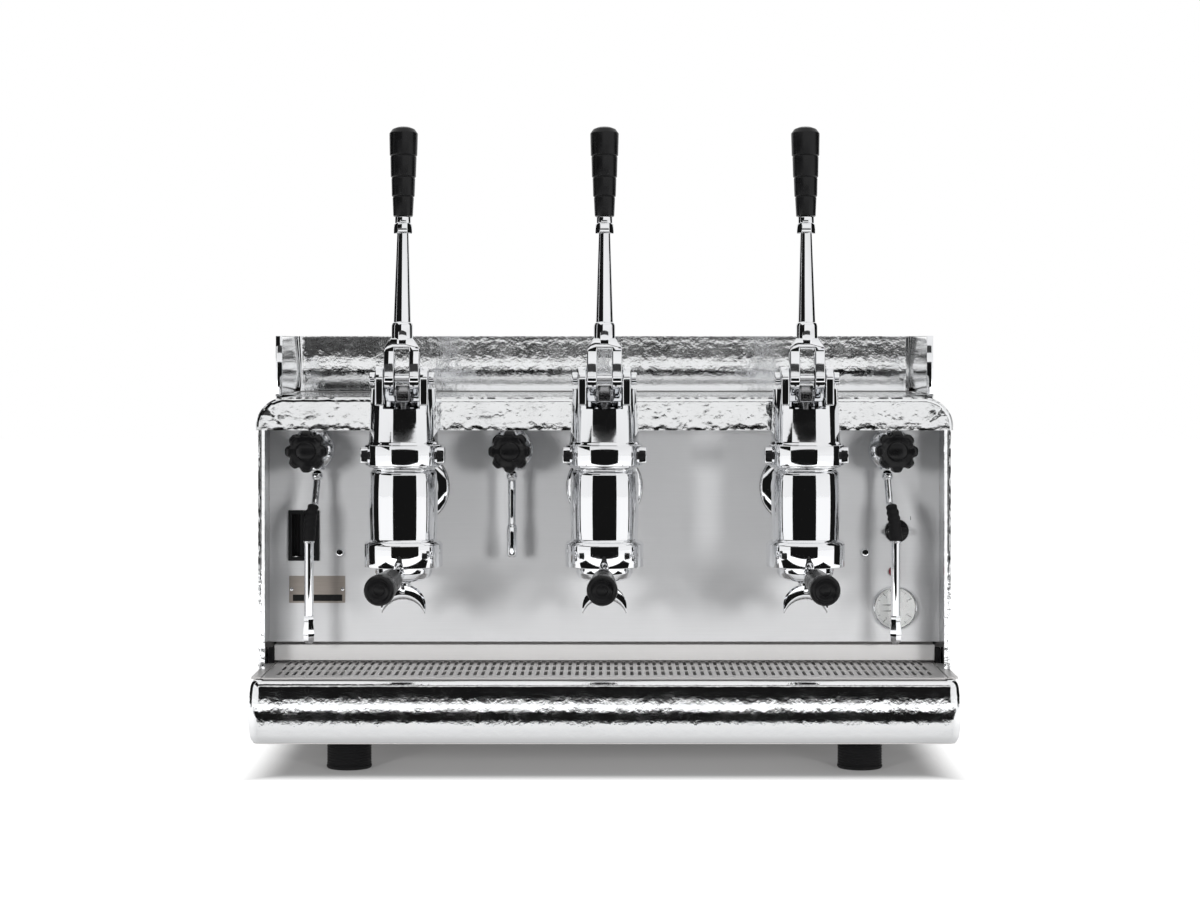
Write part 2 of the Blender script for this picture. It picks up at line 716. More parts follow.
def back_panel():
    low = (-INNER_HALF_WIDTH, CASE_DEPTH - BACK_SHEET, FOOT_HEIGHT)
    sheet = block(low, (INNER_HALF_WIDTH, CASE_DEPTH, HOOD_TOP_Z))
    vents = []
    for index in range(VENT_COUNT):
        x = (index - (VENT_COUNT - 1) / 2) * VENT_PITCH
        vents.append(block(
            (x - VENT_WIDTH / 2, CASE_DEPTH - BACK_SHEET - OVERRUN, VENT_Z),
            (x + VENT_WIDTH / 2, CASE_DEPTH + OVERRUN, VENT_Z + VENT_HEIGHT),
        ))
    place("back_panel", combined(sheet, add=[cable_gland()], cut=vents), BRUSHED)


def cable_gland():
    """Bare gland for the mains lead: a hexagon nut and its dome, which ends at a flat face."""
    root = -BACK_SHEET / 2
    outline = [
        (0, root), (GLAND_RADIUS, root), (GLAND_RADIUS, GLAND_NUT),
        (GLAND_RADIUS * GLAND_NECK_SHARE, GLAND_NUT),
        (GLAND_RADIUS * GLAND_NECK_SHARE / 2, GLAND_NUT + GLAND_REACH), (0, GLAND_NUT + GLAND_REACH),
    ]
    gland = turned_about(along_y(turned(outline, NUT_SIDES)), math.pi, "Z")
    return moved(gland, BASE_HALF_WIDTH - GLAND_INSET, CASE_DEPTH, GLAND_Z)


def front_panel():
    """Brushed sheet with a folded foot on the ledge, and a hole for each piece that passes through."""
    half = INNER_HALF_WIDTH
    corner = half - SHOULDER_X
    right = arc((SHOULDER_X, SHOULDER_Z), corner, 0, 0.5 * math.pi, SHOULDER_STEPS)
    left = [(-x, z) for x, z in reversed(right)]
    outline = [(half, PANEL_LOW_Z), *right, *left, (-half, PANEL_LOW_Z)]
    sheet = slab(outline, PANEL_Y, PANEL_Y + PANEL_SHEET, "Y")
    foot = block(
        (-half, PANEL_Y, PANEL_LOW_Z), (half, LEDGE_FRONT_Y + LEDGE_SHEET, PANEL_LOW_Z + PANEL_SHEET),
    )
    near = PANEL_Y - OVERRUN
    far = PANEL_Y + PANEL_SHEET + OVERRUN
    holes = []
    for _, x, _ in GROUP_PLACES:
        holes.append(disc_rod(NECK_RADIUS + SEAT_GAP, near, far, "Y", (x, NECK_Z), GRIP_SIDES))
    for _, x, _ in VALVE_PLACES:
        holes.append(disc_rod(VALVE_STEM_RADIUS + SEAT_GAP, near, far, "Y", (x, VALVE_Z), SMALL_SIDES))
    holes.append(disc_rod(GAUGE_RADIUS - GAUGE_RIM + SEAT_GAP, near, far, "Y", (GAUGE_X, GAUGE_Z)))
    lamp_bore = LAMP_RADIUS - LAMP_FLANGE + SEAT_GAP
    holes.append(disc_rod(lamp_bore, near, far, "Y", (LAMP_X, LAMP_Z), SMALL_SIDES))
    switch_bore = bore_radius(SWITCH_SHAFT_RADIUS, RUN_GAP, SMALL_SIDES)
    holes.append(disc_rod(switch_bore, near, far, "Y", (SWITCH_X, SWITCH_Z), SMALL_SIDES))
    fit = SIGHT_MARGIN - SEAT_GAP
    holes.append(block(
        (SIGHT_LOW_X + fit, near, SIGHT_LOW_Z + fit), (SIGHT_HIGH_X - fit, far, SIGHT_HIGH_Z - fit),
    ))
    place("front_panel", combined(sheet, add=[foot], cut=holes), BRUSHED)


def boiler():
    """Copper boiler along the machine, with a stub for each group."""
    end = BOILER_HALF_LENGTH
    outline = [(0, -end - BOILER_DOME)]
    for step in range(1, DOME_STEPS):
        angle = 0.5 * math.pi * step / DOME_STEPS
        outline.append((BOILER_RADIUS * math.sin(angle), -end - BOILER_DOME * math.cos(angle)))
    outline.append((BOILER_RADIUS, -end))
    outline += [(radius, -height) for radius, height in reversed(outline)]
    drum = moved(along_x(turned(outline)), y=BOILER_Y, z=BOILER_Z)
    stubs = []
    for _, x, _ in GROUP_PLACES:
        stubs.append(disc_rod(STUB_RADIUS, NECK_END_Y + SEAT_GAP, BOILER_Y, "Y", (x, NECK_Z), GRIP_SIDES))
    place("boiler", combined(drum, add=stubs), COPPER)


def group_body():
    """Bell, barrel, neck and escutcheon of one brew group, cast in one, round the group's axis."""
    groove = LUG_RADIUS + LUG_GROOVE_GAP
    mouth = BASKET_RADIUS + MOUTH_GAP
    groove_low = LUG_LOW_Z - RUN_GAP
    seat = BASKET_TOP_Z + SEAT_GAP
    middle = (BELL_TOP_Z + RING_LOW_Z) / 2
    outline = [
        (0, seat), (groove, seat), (groove, groove_low), (mouth, groove_low), (mouth, BELL_LOW_Z),
        (BELL_RADIUS - BELL_EDGE, BELL_LOW_Z), (BELL_RADIUS, BELL_LOW_Z + BELL_EDGE),
        (BELL_RADIUS, BELL_TOP_Z), (BARREL_RADIUS, BELL_TOP_Z), (BARREL_RADIUS + BARREL_SWELL, middle),
        (BARREL_RADIUS, RING_LOW_Z - BARREL_SHOULDER), (FLANGE_RADIUS, RING_LOW_Z),
        (FLANGE_RADIUS, JOINT_Z), (0, JOINT_Z),
    ]
    neck = disc_rod(NECK_RADIUS, CHAMBER_RADIUS / 2, NECK_END_Y - GROUP_Y, "Y", (0, NECK_Z), GRIP_SIDES)
    disc_rear = PANEL_FACE_Y - GROUP_Y
    disc = disc_rod(ESCUTCHEON_RADIUS, disc_rear - ESCUTCHEON_DEPTH, disc_rear, "Y", (0, NECK_Z))
    chamber = disc_rod(CHAMBER_RADIUS, CHAMBER_LOW_Z, JOINT_Z + OVERRUN, "Z")
    feed = disc_rod(WATER_HOLE_RADIUS, seat - OVERRUN, CHAMBER_LOW_Z + OVERRUN, "Z", sides=SMALL_SIDES)
    return combined(turned(outline), add=[neck, disc], cut=[chamber, feed])


def clamp_ring():
    inner = FLANGE_RADIUS + SEAT_GAP
    edge = BELL_EDGE / 2
    outline = [
        (inner, RING_LOW_Z), (RING_RADIUS - edge, RING_LOW_Z), (RING_RADIUS, RING_LOW_Z + edge),
        (RING_RADIUS, RING_TOP_Z - edge), (RING_RADIUS - edge, RING_TOP_Z), (inner, RING_TOP_Z),
    ]
    root = (inner + RING_RADIUS) / 2
    ears = []
    for side in (-1, 1):
        ends = sorted((side * root, side * CLAMP_EAR_X))
        ears.append(block(
            (ends[0], -CLAMP_EAR_HALF_DEPTH, RING_LOW_Z + CLAMP_EAR_INSET),
            (ends[1], CLAMP_EAR_HALF_DEPTH, RING_TOP_Z - CLAMP_EAR_INSET),
        ))
        middle = (side * CLAMP_BOLT_X, (RING_LOW_Z + RING_TOP_Z) / 2)
        front = -CLAMP_EAR_HALF_DEPTH - CLAMP_BOLT_HEAD
        seat = CLAMP_BOLT_HEAD - CLAMP_EAR_HALF_DEPTH
        ears.append(disc_rod(CLAMP_BOLT_RADIUS, front, seat, "Y", middle, SMALL_SIDES))
    return combined(turned(outline), add=ears)


def spring_housing():
    """Upper cylinder with a guide cap for the rod, open at the front between the pivot's two ears."""
    low = JOINT_Z + SEAT_GAP
    outline = [
        (0, low), (FLANGE_RADIUS, low), (FLANGE_RADIUS, RING_TOP_Z + SEAT_GAP),
        (FLANGE_RADIUS - BELL_EDGE, RING_TOP_Z + BELL_EDGE), (HOUSING_TOP_RADIUS, HOUSING_TOP_Z),
        (0, HOUSING_TOP_Z),
    ]
    notch = EAR_IN_X + RUN_GAP
    rod_bore = bore_radius(ROD_RADIUS, RUN_GAP, GRIP_SIDES)
    cuts = [
        disc_rod(CHAMBER_RADIUS, low - OVERRUN, CAP_TOP_Z - CAP_THICKNESS, "Z"),
        disc_rod(rod_bore, low - OVERRUN, HOUSING_TOP_Z, "Z", sides=GRIP_SIDES),
        disc_rod(POCKET_RADIUS, CAP_TOP_Z, HOUSING_TOP_Z + OVERRUN, "Z"),
        block((-notch, -2 * FLANGE_RADIUS, CAP_TOP_Z), (notch, 0, HOUSING_TOP_Z + OVERRUN)),
    ]
    shell = combined(turned(outline), cut=cuts)
    ear_top = arc((-PIVOT_OFFSET, PIVOT_Z), EAR_RADIUS, 0, math.pi, SHOULDER_STEPS + 2)
    ear_foot = [(-EAR_RADIUS - PIVOT_OFFSET, EAR_FOOT_Z), (EAR_RADIUS - PIVOT_OFFSET, EAR_FOOT_Z)]
    ear_outline = ear_top + ear_foot
    ears = [slab(ear_outline, EAR_IN_X, EAR_OUT_X, "X"), slab(ear_outline, -EAR_OUT_X, -EAR_IN_X, "X")]
    bore = disc_rod(
        bore_radius(PIVOT_RADIUS, RUN_GAP, GRIP_SIDES), -EAR_OUT_X - OVERRUN, EAR_OUT_X + OVERRUN,
        "X", (-PIVOT_OFFSET, PIVOT_Z), GRIP_SIDES,
    )
    return combined(opened(shell), add=ears, cut=[bore])


def hull(points):
    """Smallest convex outline round flat points."""
    return [points[index] for index in convex_hull_2d([Vector(point) for point in points])]


def crank_place():
    """Crank pin at rest, as (y, z) from the pivot: half the travel below the level."""
    angle = -LEVER_TRAVEL / 2
    return CRANK_RADIUS * math.cos(angle), CRANK_RADIUS * math.sin(angle)


def leaned(shape):
    return turned_about(shape, -LEVER_LEAN, "X")


def lever():
    """Forked lever with its pivot and crank pins, round the pivot: eyes, lobes, shoulders, socket and rod."""
    crank = crank_place()
    steps = SMALL_SIDES
    eye = arc((0, 0), EYE_RADIUS, 0, 2 * math.pi, steps)
    lobe = arc(crank, CRANK_LOBE_RADIUS, 0, 2 * math.pi, steps)
    depth = SOCKET_RADIUS * ARM_DEPTH_SHARE
    column = [(-depth, WINDOW_TOP), (depth, WINDOW_TOP)]
    shapes = []
    for low in (FORK_IN_X, -FORK_OUT_X):
        high = low + FORK_OUT_X - FORK_IN_X
        shapes.append(slab(hull(eye + lobe), low, high, "X"))
        shapes.append(leaned(slab(hull(eye + column), low, high, "X")))
    head = [
        (FORK_OUT_X, WINDOW_TOP - OVERRUN), (FORK_OUT_X, WINDOW_TOP), (SOCKET_RADIUS, SHOULDER_TOP),
        (-SOCKET_RADIUS, SHOULDER_TOP), (-FORK_OUT_X, WINDOW_TOP), (-FORK_OUT_X, WINDOW_TOP - OVERRUN),
    ]
    shapes.append(leaned(slab(head, -depth, depth, "Y")))
    rod = [
        (0, WINDOW_TOP), (SOCKET_RADIUS, WINDOW_TOP), (SOCKET_RADIUS, SOCKET_TOP),
        (ROD_LOW_RADIUS, SOCKET_TOP), (ROD_HIGH_RADIUS, ROD_TOP), (TANG_RADIUS, NUT_TOP),
        (TANG_RADIUS, NUT_TOP + TANG_DEPTH), (0, NUT_TOP + TANG_DEPTH),
    ]
    shapes.append(leaned(turned(rod, SMALL_SIDES)))
    nut = turned([(0, ROD_TOP), (NUT_RADIUS, ROD_TOP), (NUT_RADIUS, NUT_TOP), (0, NUT_TOP)], NUT_SIDES)
    shapes.append(leaned(nut))
    pin_end = EAR_OUT_X + SEAT_GAP
    shapes.append(disc_rod(PIVOT_RADIUS, -pin_end, pin_end, "X", sides=SMALL_SIDES))
    for low, high in ((pin_end, PIVOT_HEAD_X), (-PIVOT_HEAD_X, -pin_end)):
        shapes.append(disc_rod(PIVOT_HEAD_RADIUS, low, high, "X", sides=SMALL_SIDES))
    overlap = (FORK_IN_X + FORK_OUT_X) / 2
    shapes.append(disc_rod(CRANK_PIN_RADIUS, -overlap, overlap, "X", crank, SMALL_SIDES))
    return combined(shapes[0], add=shapes[1:])


def lever_grip():
    """Black handle in four steps that widen to a domed top, bored for the lever's tang."""
    low = NUT_TOP + SEAT_GAP
    bore = TANG_RADIUS + SEAT_GAP
    outline = [(0, low + TANG_DEPTH), (bore, low + TANG_DEPTH), (bore, low)]
    height = low
    for step_height, radius in zip(GRIP_STEP_HEIGHTS, GRIP_RADII):
        outline += [(radius - GRIP_GROOVE, height), (radius, height + step_height)]
        height += step_height
    top_radius = GRIP_RADII[-1]
    for step in range(1, DOME_STEPS):
        angle = 0.5 * math.pi * step / DOME_STEPS
        outline.append((top_radius * math.cos(angle), height + GRIP_DOME * math.sin(angle)))
    outline.append((0, height + GRIP_DOME))
    return leaned(turned(outline, GRIP_SIDES))


def piston():
    """Piston head, rod and a slotted yoke that the lever's crank pin works in."""
    radius = CHAMBER_RADIUS - PISTON_CLEARANCE
    top = PISTON_LOW_Z + PISTON_HEIGHT
    middle = PISTON_LOW_Z + PISTON_HEIGHT / 2
    crank_y, crank_z = crank_place()
    yoke_z = PIVOT_Z + crank_z
    outline = [
        (0, PISTON_LOW_Z), (radius, PISTON_LOW_Z), (radius, middle - PISTON_GROOVE),
        (radius - PISTON_GROOVE, middle - PISTON_GROOVE), (radius - PISTON_GROOVE, middle + PISTON_GROOVE),
        (radius, middle + PISTON_GROOVE), (radius, top), (ROD_RADIUS, top), (ROD_RADIUS, yoke_z), (0, yoke_z),
    ]
    slot_rise = CRANK_PIN_RADIUS + YOKE_CLEARANCE
    near = crank_y - PIVOT_OFFSET - slot_rise
    far = CRANK_RADIUS - PIVOT_OFFSET + slot_rise
    half = FORK_IN_X - RUN_GAP
    wall = YOKE_WALL
    rise = slot_rise + wall
    corner = wall / 2
    plate = [
        (near - wall, yoke_z - rise + corner), (near - wall + corner, yoke_z - rise),
        (far + wall - corner, yoke_z - rise), (far + wall, yoke_z - rise + corner),
        (far + wall, yoke_z + rise - corner), (far + wall - corner, yoke_z + rise),
        (near - wall + corner, yoke_z + rise), (near - wall, yoke_z + rise - corner),
    ]
    front = arc((near + slot_rise, yoke_z), slot_rise, 0.5 * math.pi, 1.5 * math.pi, SHOULDER_STEPS)
    rear = arc((far - slot_rise, yoke_z), slot_rise, -0.5 * math.pi, 0.5 * math.pi, SHOULDER_STEPS)
    slot = slab(front + rear, -half - OVERRUN, half + OVERRUN, "X")
    return combined(turned(outline), add=[slab(plate, -half, half, "X")], cut=[slot])


def spring():
    """Main spring between the piston head and the housing's cap, one unbroken coil."""
    low = PISTON_LOW_Z + PISTON_HEIGHT + SEAT_GAP + WIRE_RADIUS
    high = CAP_TOP_Z - CAP_THICKNESS - SEAT_GAP - WIRE_RADIUS
    count = SPRING_TURNS * SPRING_POINTS
    points = []
    for step in range(count + 1):
        angle = 2 * math.pi * step / SPRING_POINTS
        height = low + (high - low) * step / count
        points.append((SPRING_RADIUS * math.cos(angle), SPRING_RADIUS * math.sin(angle), height))
    turns = [Vector(point) for point in points]
    apart = SPRING_POINTS // 2
    count = len(turns)
    gaps = [(turns[near] - turns[far]).length for near in range(count) for far in range(near + apart, count)]
    least = min(gaps)
    print("least gap between the spring's turns, in metres:", round(least - 2 * WIRE_RADIUS, 5))
    return swept(points, [WIRE_RADIUS] * len(points), SPRING_SIDES, (0, 0, 1))


def turned_on_handle(outline, sides):
    """Revolve (radius, reach) points and lay them on the handle's drooping axis."""
    shape = turned_about(along_y(turned(outline, sides)), HANDLE_DROOP, "X")
    return moved(shape, z=HANDLE_Z)


def portafilter():
    """Basket holder with lugs, handle neck and a twin spout."""
    inside = BASKET_RADIUS - BASKET_WALL
    corner = BASKET_LOW_Z - BASKET_FLOOR_Z
    outline = [(0, BASKET_FLOOR_Z)]
    outline += arc((BASKET_RADIUS - corner, BASKET_LOW_Z), corner, -0.5 * math.pi, 0, CORNER_STEPS)
    outline += [
        (BASKET_RADIUS, BASKET_TOP_Z), (inside, BASKET_TOP_Z),
        (inside, BASKET_LOW_Z), (0, BASKET_LOW_Z - BASKET_FLOOR),
    ]
    shapes = []
    spread = math.asin(LUG_HALF_WIDTH / LUG_RADIUS)
    root = BASKET_RADIUS - BASKET_WALL / 2
    for middle in (0, math.pi):
        outer = arc((0, 0), LUG_RADIUS, middle - spread, middle + spread, 2)
        inner = arc((0, 0), root, middle + spread, middle - spread, 1)
        shapes.append(slab(outer + inner, LUG_LOW_Z, LUG_TOP_Z, "Z"))
    neck = [
        (0, inside), (HANDLE_NECK_RADIUS, inside), (HANDLE_NECK_RADIUS, HANDLE_FLARE_START),
        (HANDLE_COLLAR_RADIUS, HANDLE_NECK_END - HANDLE_COLLAR), (HANDLE_COLLAR_RADIUS, HANDLE_NECK_END),
        (TANG_RADIUS, HANDLE_NECK_END), (TANG_RADIUS, HANDLE_NECK_END + TANG_DEPTH),
        (0, HANDLE_NECK_END + TANG_DEPTH),
    ]
    shapes.append(turned_on_handle(neck, SMALL_SIDES))
    stem = [
        (0, SPOUT_ARCH_Z - SPOUT_RADIUS), (SPOUT_STEM_RADIUS, SPOUT_ARCH_Z - SPOUT_RADIUS),
        (SPOUT_STEM_RADIUS, BASKET_FLOOR_Z + BASKET_FLOOR / 2), (0, BASKET_FLOOR_Z + BASKET_FLOOR / 2),
    ]
    shapes.append(turned(stem, SMALL_SIDES))
    shapes.append(spout_arch())
    return combined(turned(outline), add=shapes)


def spout_arch():
    """Two horns that curve down from the stem and thin towards their tips."""
    drop = SPOUT_ARCH_Z - SPOUT_RADIUS - SPOUT_TIP_Z
    points = []
    radii = []
    for step in range(-SPOUT_STEPS, SPOUT_STEPS + 1):
        share = step / SPOUT_STEPS
        angle = 0.5 * math.pi * share
        points.append((SPOUT_REACH * math.sin(angle), 0, SPOUT_TIP_Z + drop * math.cos(angle)))
        radii.append(SPOUT_RADIUS * (1 - SPOUT_TAPER_SHARE * abs(share)))
    return swept(points, radii, PIPE_SIDES, (0, 1, 0))


def portafilter_grip():
    """Black handle, waisted behind a dished round end."""
    start = HANDLE_NECK_END + SEAT_GAP
    end = start + PF_GRIP_LENGTH
    bore = TANG_RADIUS + SEAT_GAP
    edge = PF_GRIP_DISH
    outline = [
        (0, start + TANG_DEPTH), (bore, start + TANG_DEPTH), (bore, start),
        (PF_GRIP_REAR_RADIUS - edge, start), (PF_GRIP_REAR_RADIUS, start + edge),
        (PF_GRIP_WAIST_RADIUS, start + PF_GRIP_LENGTH * PF_WAIST_SHARE),
        (PF_GRIP_FRONT_RADIUS, end - 2 * edge), (PF_GRIP_FRONT_RADIUS, end - edge / 2),
        (PF_GRIP_FRONT_RADIUS - edge, end), (PF_GRIP_REAR_RADIUS - edge, end),
        (PF_GRIP_REAR_RADIUS - 2 * edge, end - edge), (0, end - edge),
    ]
    return turned_on_handle(outline, GRIP_SIDES)


def groups():
    """Three brew groups: each copy is its own object, and shares its mesh with its neighbours."""
    fixed = {
        "group_body": (group_body(), CHROME),
        "clamp_ring": (clamp_ring(), CHROME),
        "spring_housing": (spring_housing(), CHROME),
        "main_spring": (as_mesh(spring()), SPRING_STEEL),
        "piston": (piston(), BRUSHED),
    }
    swung = {"lever": (lever(), CHROME), "lever_grip": (as_mesh(lever_grip()), BLACK_GRIP)}
    locked = {
        "portafilter": (portafilter(), CHROME),
        "portafilter_grip": (as_mesh(portafilter_grip()), BLACK_GRIP),
    }
    for side, x, turn in GROUP_PLACES:
        for name, (mesh, look) in fixed.items():
            place(f"{name}_{side}", mesh, look, (x, GROUP_Y, 0))
        for name, (mesh, look) in swung.items():
            place(f"{name}_{side}", mesh, look, (x, GROUP_Y - PIVOT_OFFSET, PIVOT_Z))
        for name, (mesh, look) in locked.items():
            item = place(f"{name}_{side}", mesh, look, (x, GROUP_Y, 0))
            item.rotation_euler.z = turn


def as_mesh(shape):
    mesh = bpy.data.meshes.new("shape")
    shape.to_mesh(mesh)
    shape.free()
    return mesh


def valve_body(shift):
    """Dome on the panel, stem with its nut, tail through the panel, and the outlet below."""
    rear = PANEL_FACE_Y
    outline = [(0, -VALVE_TAIL), (VALVE_STEM_RADIUS, -VALVE_TAIL), (VALVE_STEM_RADIUS, 0)]
    for step in range(CORNER_STEPS + 1):
        angle = 0.5 * math.pi * step / (CORNER_STEPS + 1)
        outline.append((VALVE_DOME_RADIUS * math.cos(angle), VALVE_DOME_DEPTH * math.sin(angle)))
    nut_front = rear - KNOB_REAR_Y - SEAT_GAP
    nut_rear = nut_front - VALVE_NUT_DEPTH
    outline += [
        (VALVE_STEM_RADIUS, VALVE_DOME_DEPTH), (VALVE_STEM_RADIUS, nut_rear), (VALVE_NUT_RADIUS, nut_rear),
        (VALVE_NUT_RADIUS, nut_front), (0, nut_front),
    ]
    stem = along_y(turned(outline, SMALL_SIDES))
    drop = OUTLET_Z - VALVE_Z
    out_y = OUTLET_Y - rear
    outlet = swept([(0, out_y, 0), (shift, out_y, drop)], [OUTLET_RADIUS, OUTLET_RADIUS], SMALL_SIDES)
    reach = 2 * OUTLET_RADIUS
    skirt = block((shift - reach, out_y - reach, drop - reach), (shift + reach, out_y + reach, drop))
    return combined(stem, add=[outlet], cut=[skirt])


def valve_knob():
    """Lobed black knob round the valve's axis, its centre slightly raised inside a shallow dish."""
    count = KNOB_LOBES * KNOB_LOBE_POINTS
    depth = KNOB_REAR_Y - KNOB_FRONT_Y
    edge = KNOB_LOBE_DEPTH / 2

    def lobed(inset, height):
        ring = []
        for step in range(count):
            angle = 2 * math.pi * step / count
            wave = 0.5 - 0.5 * math.cos(KNOB_LOBES * angle)
            dip = KNOB_LOBE_DEPTH * wave * wave
            radius = KNOB_RADIUS - inset - dip
            ring.append((radius * math.cos(angle), radius * math.sin(angle), height))
        return ring

    def plain(radius, height):
        round_ring = arc((0, 0), radius, 0, 2 * math.pi * (count - 1) / count, count - 1)
        return [(x, y, height) for x, y in round_ring]

    body = loft([
        lobed(2 * edge, 0), lobed(0, edge), lobed(0, depth - 2 * edge), lobed(2 * edge, depth - edge),
        plain(KNOB_CAP_RADIUS + edge, depth - KNOB_DISH), plain(KNOB_CAP_RADIUS, depth),
    ])
    return along_y(body)


def ball_height():
    return OUTLET_Z - SEAT_GAP - BALL_RADIUS


def wand_path(splay):
    """Centre line of a steam wand from its ball, down the pipe, round the elbow and on to the tip."""
    top = ball_height()
    elbow = (SLEEVE_TOP_Z + SLEEVE_LOW_Z) / 2
    heights = (PIPE_DROP_Z, SLEEVE_TOP_Z, elbow, SLEEVE_LOW_Z, NOZZLE_TOP_Z, WAND_TIP_Z)
    lean = splay / (SLEEVE_LOW_Z - WAND_TIP_Z)
    points = [Vector((0, 0, 0))]
    for height, share in zip(heights, WAND_BEND_SHARES):
        below = max(SLEEVE_LOW_Z - height, 0)
        out = math.copysign(SLEEVE_OUT, splay) * share + lean * below
        points.append(Vector((out, (WAND_FRONT_Y - OUTLET_Y) * share, height - top)))
    return points


def steam_wand(splay):
    """Ball, bent pipe and faceted nozzle of a steam wand, round the ball's centre."""
    path = wand_path(splay)
    pipe = swept(path, [PIPE_RADIUS] * ELBOW_POINT + [WAND_RADIUS] * (len(path) - ELBOW_POINT))
    tip = path[-1]
    root = path[-2]
    waist = root.lerp(tip, NOZZLE_WAIST_SHARE)
    shoulder = root.lerp(tip, NOZZLE_SHOULDER_SHARE)
    collar = WAND_RADIUS + SEAT_GAP
    nozzle_radii = [collar, collar, NOZZLE_RADIUS, NOZZLE_TIP_RADIUS]
    nozzle = swept([root, waist, shoulder, tip], nozzle_radii)
    return combined(ball(), add=[pipe, nozzle])


def ball():
    outline = arc((0, 0), BALL_RADIUS, -0.5 * math.pi, 0.5 * math.pi, CORNER_STEPS * 2)
    outline[0] = (0, -BALL_RADIUS)
    outline[-1] = (0, BALL_RADIUS)
    return turned(outline, SMALL_SIDES)


def wand_sleeve(splay):
    """Black rubber hand grip over the wand's elbow, a bent tube that the pipe passes through."""
    path = wand_path(splay)
    top, middle, low = path[2], path[3], path[4]
    upper = top.lerp(middle, 0.5)
    lower = middle.lerp(low, 0.5)
    rise = SLEEVE_RADIUS / 2
    outer = swept(
        [top, upper, middle, lower, low],
        [SLEEVE_RADIUS - rise / 2, SLEEVE_RADIUS, SLEEVE_RADIUS, SLEEVE_RADIUS, SLEEVE_RADIUS - rise / 4],
    )
    bore = WAND_RADIUS + 2 * SEAT_GAP
    passage = [path[1], top, middle, low, path[5]]
    inner = swept(passage, [bore] * len(passage))
    return combined(outer, cut=[inner])


def water_spout():
    """Ball and straight hot-water tube with a wider nozzle, round the ball's centre."""
    top = ball_height()
    outline = [
        (0, WATER_TIP_Z - top), (WATER_NOZZLE_RADIUS - BELL_EDGE, WATER_TIP_Z - top),
        (WATER_NOZZLE_RADIUS, WATER_TIP_Z + BELL_EDGE - top), (WATER_NOZZLE_RADIUS, WATER_NOZZLE_TOP_Z - top),
        (SPOUT_PIPE_RADIUS, WATER_NOZZLE_TOP_Z + BELL_EDGE - top), (SPOUT_PIPE_RADIUS, -BALL_RADIUS / 2),
        (0, -BALL_RADIUS / 2),
    ]
    return combined(ball(), add=[turned(outline, SMALL_SIDES)])


def valves():
    for side, x, shift in VALVE_PLACES:
        place(f"valve_body_{side}", valve_body(shift), CHROME, (x, PANEL_FACE_Y, VALVE_Z))
        place(f"valve_knob_{side}", valve_knob(), BLACK_GRIP, (x, KNOB_REAR_Y, VALVE_Z))
        outlet = (x + shift, OUTLET_Y, ball_height())
        if side == "centre":
            place("water_spout", water_spout(), CHROME, outlet)
        else:
            splay = math.copysign(WAND_SPLAY, x)
            place(f"steam_wand_{side}", steam_wand(splay), CHROME, outlet)
            place(f"wand_sleeve_{side}", wand_sleeve(splay), BLACK_RUBBER, outlet)


def sight_window():
    """Frame of the water level window: a bezel on the panel, a box behind it and the gauge tube inside."""
    width = SIGHT_HIGH_X - SIGHT_LOW_X
    height = SIGHT_HIGH_Z - SIGHT_LOW_Z
    bezel = block((0, -SIGHT_PROUD, 0), (width, 0, height))
    box = block(
        (SIGHT_MARGIN, -SIGHT_PROUD / 2, SIGHT_MARGIN),
        (width - SIGHT_MARGIN, SIGHT_DEPTH, height - SIGHT_MARGIN),
    )
    recess = block(
        (SIGHT_BEZEL, -SIGHT_PROUD - OVERRUN, SIGHT_BEZEL),
        (width - SIGHT_BEZEL, SIGHT_DEPTH - SIGHT_PROUD, height - SIGHT_BEZEL),
    )
    frame = combined(bezel, add=[box], cut=[recess])
    tube = disc_rod(
        SIGHT_TUBE_RADIUS, SIGHT_BEZEL / 2, height - SIGHT_BEZEL / 2, "Z",
        (width / 2, (SIGHT_DEPTH - SIGHT_PROUD) / 2), SMALL_SIDES,
    )
    mesh = combined(opened(frame), add=[tube])
    place("sight_window", mesh, BLACK_GRIP, (SIGHT_LOW_X, PANEL_FACE_Y, SIGHT_LOW_Z))


def switch_knob():
    """Rotary main switch: round skirt, pointer bar and a shaft through the panel."""
    outline = [
        (0, -SWITCH_DEPTH), (SWITCH_SHAFT_RADIUS, -SWITCH_DEPTH), (SWITCH_SHAFT_RADIUS, 0),
        (SWITCH_BASE_RADIUS, 0), (SWITCH_BASE_RADIUS, SWITCH_BASE_DEPTH), (0, SWITCH_BASE_DEPTH),
    ]
    base = along_y(turned(outline))
    reach = SWITCH_BASE_RADIUS * SWITCH_BAR_SHARE
    bar = block((-SWITCH_BAR_HALF, -SWITCH_DEPTH, -reach), (SWITCH_BAR_HALF, -SWITCH_BASE_DEPTH / 2, reach))
    place("switch_knob", combined(base, add=[bar]), BLACK_GRIP, (SWITCH_X, PANEL_FACE_Y, SWITCH_Z))


def lamp():
    tail = LAMP_RADIUS - LAMP_FLANGE
    outline = [(0, -LAMP_DEPTH), (tail, -LAMP_DEPTH), (tail, 0)]
    for step in range(CORNER_STEPS + 1):
        angle = 0.5 * math.pi * step / CORNER_STEPS
        outline.append((LAMP_RADIUS * math.cos(angle), LAMP_PROUD * math.sin(angle)))
    outline[-1] = (0, LAMP_PROUD)
    place("pilot_lamp", along_y(turned(outline, SMALL_SIDES)), RED_LENS, (LAMP_X, PANEL_FACE_Y, LAMP_Z))


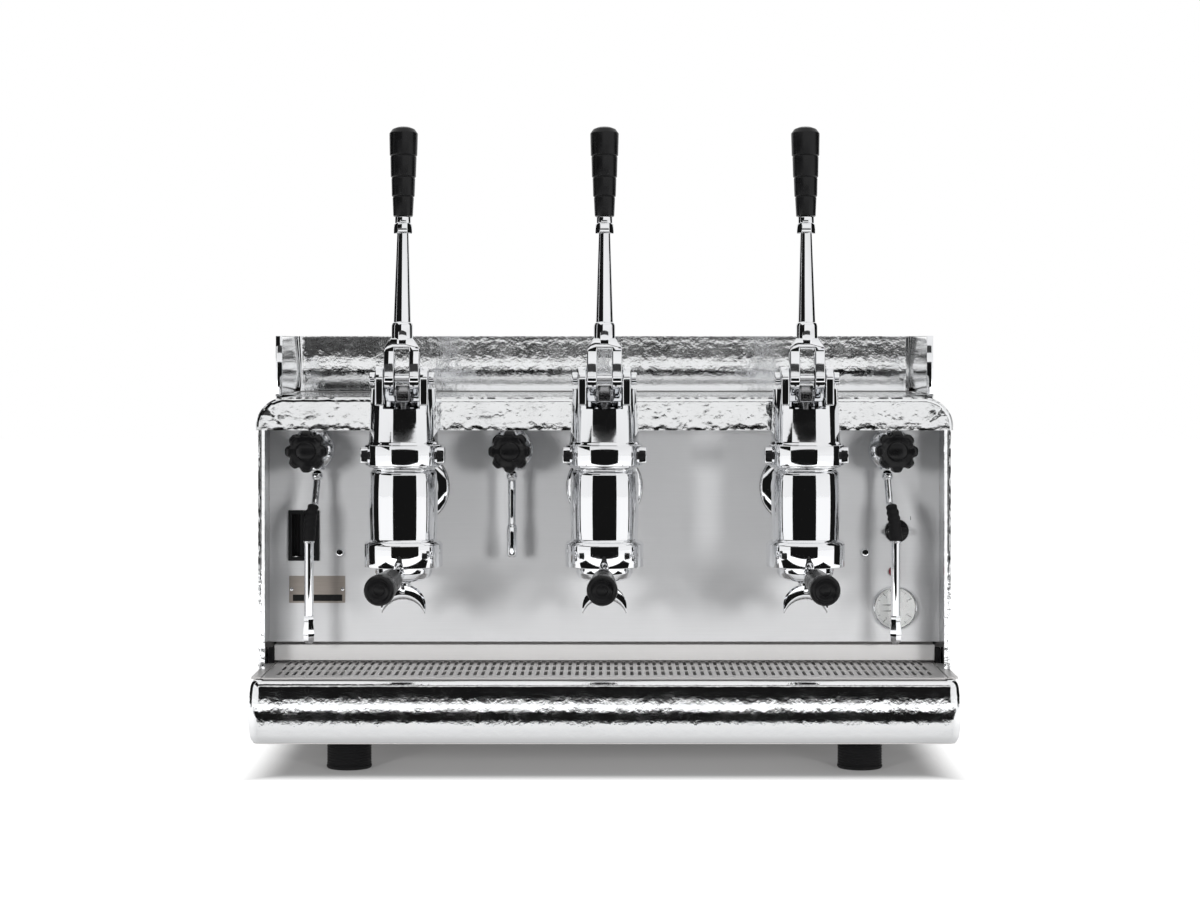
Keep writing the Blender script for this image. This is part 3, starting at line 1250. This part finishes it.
def gauge():
    """Pressure gauge: a can behind the panel, a rim in front of it, and two pointers on the dial."""
    can = GAUGE_RADIUS - GAUGE_RIM
    dial = GAUGE_PROUD - GAUGE_DIAL_DEPTH
    outline = [
        (0, -GAUGE_DEPTH), (can, -GAUGE_DEPTH), (can, 0), (GAUGE_RADIUS, 0),
        (GAUGE_RADIUS, GAUGE_PROUD - GAUGE_RIM / 2), (GAUGE_RADIUS - GAUGE_RIM / 2, GAUGE_PROUD),
        (can, GAUGE_PROUD), (can, dial), (0, dial),
    ]
    place("gauge_case", along_y(turned(outline)), DIAL_WHITE, (GAUGE_X, PANEL_FACE_Y, GAUGE_Z))
    steps = SMALL_SIDES
    hub = arc((0, 0), NEEDLE_HUB_RADIUS, 0, 2 * math.pi * (steps - 1) / steps, steps - 1)
    low = SEAT_GAP
    for name, offset in (("upper", NEEDLE_OFFSET), ("lower", -NEEDLE_OFFSET)):
        arm = [
            (-NEEDLE_LENGTH, 0), (-NEEDLE_HUB_RADIUS, -NEEDLE_HALF_WIDTH), (NEEDLE_TAIL, -NEEDLE_HALF_WIDTH),
            (NEEDLE_TAIL, NEEDLE_HALF_WIDTH), (-NEEDLE_HUB_RADIUS, NEEDLE_HALF_WIDTH),
        ]
        blade = slab(arm, -low - NEEDLE_THICKNESS, -low, "Y")
        boss = slab(hub, -low - 2 * NEEDLE_THICKNESS, -low, "Y")
        origin = (GAUGE_X, PANEL_FACE_Y - dial, GAUGE_Z + offset)
        place(f"gauge_needle_{name}", combined(boss, add=[blade]), BLACK_GRIP, origin)


def centre_on_base():
    """Put the origin under the middle of the finished model's box, on the floor."""
    bpy.context.view_layer.update()
    corners = [item.matrix_world @ vertex.co for item in bpy.data.objects for vertex in item.data.vertices]
    middle_x = (min(point.x for point in corners) + max(point.x for point in corners)) / 2
    middle_y = (min(point.y for point in corners) + max(point.y for point in corners)) / 2
    for item in bpy.data.objects:
        item.location.x -= middle_x
        item.location.y -= middle_y
    print("origin moved by, in metres:", round(-middle_x, 6), round(-middle_y, 6))


def main():
    clear_scene()
    base_frame()
    base_band()
    drip_pan()
    drip_grate()
    feet()
    side_panels()
    hood()
    cup_deck()
    cup_rail()
    back_panel()
    front_panel()
    boiler()
    groups()
    valves()
    sight_window()
    switch_knob()
    lamp()
    gauge()
    centre_on_base()


main()
